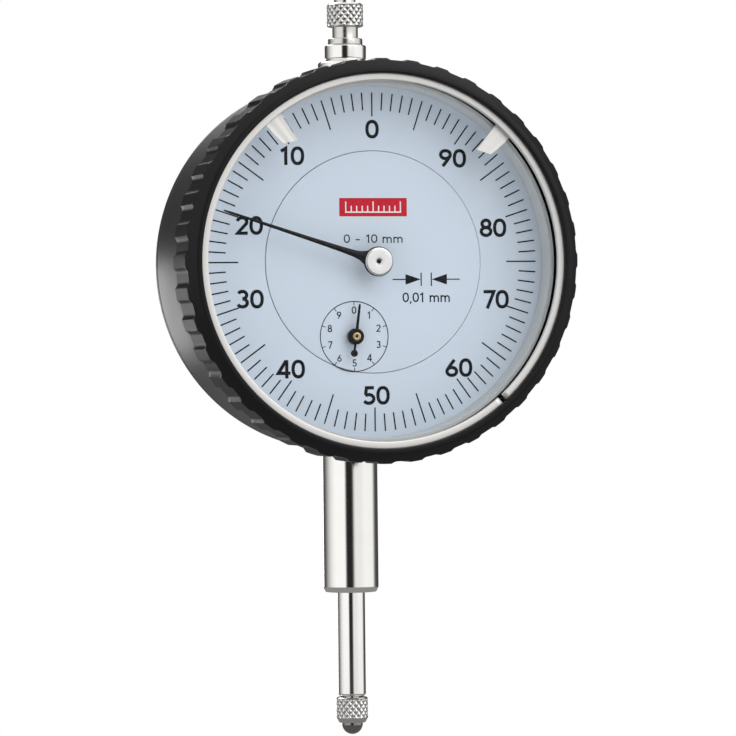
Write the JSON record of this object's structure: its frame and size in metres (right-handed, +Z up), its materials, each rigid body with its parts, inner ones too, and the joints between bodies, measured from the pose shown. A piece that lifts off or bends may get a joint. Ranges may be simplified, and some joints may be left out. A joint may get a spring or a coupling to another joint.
{
  "type": "dial indicator",
  "caption": "Plunger dial indicator with a round ribbed bezel, main and small dials, tolerance markers, a clamping stem, a knurled lifting knob and a ball contact point.",
  "frame": {"origin": "on the stem's axis at the stem's lower end", "axes": "+Z up along the stem and spindle, the dial faces -Y, +X to the dial's right"},
  "size_m": [0.057, 0.0286, 0.1071],
  "materials": {
    "case_paint": "gloss dark lacquer",
    "bezel_plastic": "satin black moulding",
    "polished_steel": "bright polished",
    "screw_steel": "turned",
    "arbor_steel": "ground",
    "spring_steel": "blued",
    "brass": "machined",
    "jewel": "polished synthetic ruby",
    "crystal": "clear",
    "dial_paint": "matt pale blue-grey",
    "wall_paint": "matt grey",
    "hand_paint": "satin black",
    "carbide": "lapped hard metal"
  },
  "bodies": {
    "case": {"case_body": "case_paint", "back_cover": "case_paint", "stem": "polished_steel", "upper_sleeve": "polished_steel", "back_screw_1": "screw_steel", "back_screw_2": "screw_steel", "back_screw_3": "screw_steel", "back_screw_4": "screw_steel", "pillar_screw_1": "screw_steel", "pillar_screw_2": "screw_steel", "pillar_screw_3": "screw_steel", "mount_screw_1": "screw_steel", "mount_screw_2": "screw_steel", "mount_screw_3": "screw_steel", "spring_post": "screw_steel", "bezel_wire": "spring_steel", "return_spring": "spring_steel", "hairspring": "spring_steel", "lower_bush": "brass", "upper_bush": "brass", "front_plate": "brass", "rear_plate": "brass", "pillar_1": "brass", "pillar_2": "brass", "pillar_3": "brass", "hairspring_stud": "brass", "guide_rail": "brass", "centre_jewel_front": "jewel", "centre_jewel_rear": "jewel", "rack_jewel_front": "jewel", "rack_jewel_rear": "jewel", "takeup_jewel_front": "jewel", "takeup_jewel_rear": "jewel", "inner_dial": "dial_paint"},
    "bezel": {"bezel_ring": "bezel_plastic", "snap_ring": "polished_steel", "crystal": "crystal", "wall_ring": "wall_paint", "scale_ring": "dial_paint"},
    "marker_left": {"marker_left": "polished_steel"},
    "marker_right": {"marker_right": "polished_steel"},
    "plunger": {"spindle": "polished_steel", "lifting_knob": "polished_steel", "guide_arm": "brass", "contact_point": "polished_steel", "contact_ball": "carbide"},
    "rack_train": {"rack_arbor": "arbor_steel", "rack_wheel": "brass", "small_hand": "hand_paint", "small_hand_cap": "brass"},
    "centre_train": {"centre_arbor": "arbor_steel", "main_hand": "hand_paint", "main_hand_cap": "polished_steel"},
    "takeup_train": {"takeup_arbor": "arbor_steel", "takeup_wheel": "brass", "spring_collet": "brass"}
  },
  "joints": [
    {"name": "plunger_slide", "type": "slide", "parent": "case", "child": "plunger", "axis": [0, 0, 1], "range_m": [0, 0.0103], "stiffness_N_per_m": 25, "springref_m": -0.03, "deforming": ["return_spring"]},
    {"name": "rack_arbor_turn", "type": "hinge", "parent": "case", "child": "rack_train", "pos_m": [-0.00295, 0, 0.03686], "axis": [0, -1, 0], "range_deg": [-5, 380]},
    {"name": "centre_arbor_turn", "type": "hinge", "parent": "case", "child": "centre_train", "pos_m": [0, 0, 0.0474], "axis": [0, -1, 0], "range_deg": [-3800, 50]},
    {"name": "takeup_arbor_turn", "type": "hinge", "parent": "case", "child": "takeup_train", "pos_m": [0.00295, 0, 0.05794], "axis": [0, -1, 0], "range_deg": [-5, 380]},
    {"name": "bezel_turn", "type": "hinge", "parent": "case", "child": "bezel", "pos_m": [0, 0, 0.0474], "axis": [0, -1, 0], "continuous": true},
    {"name": "marker_left_turn", "type": "hinge", "parent": "bezel", "child": "marker_left", "pos_m": [0, 0, 0.0474], "axis": [0, -1, 0], "range_deg": [-35, 130]},
    {"name": "marker_right_turn", "type": "hinge", "parent": "bezel", "child": "marker_right", "pos_m": [0, 0, 0.0474], "axis": [0, -1, 0], "range_deg": [-130, 35]}
  ],
  "couplings": [
    {"joint": "rack_arbor_turn", "follows": "plunger_slide", "rad_per_m": 628.32},
    {"joint": "centre_arbor_turn", "follows": "plunger_slide", "rad_per_m": -6283.2},
    {"joint": "takeup_arbor_turn", "follows": "plunger_slide", "rad_per_m": 628.32}
  ]
}
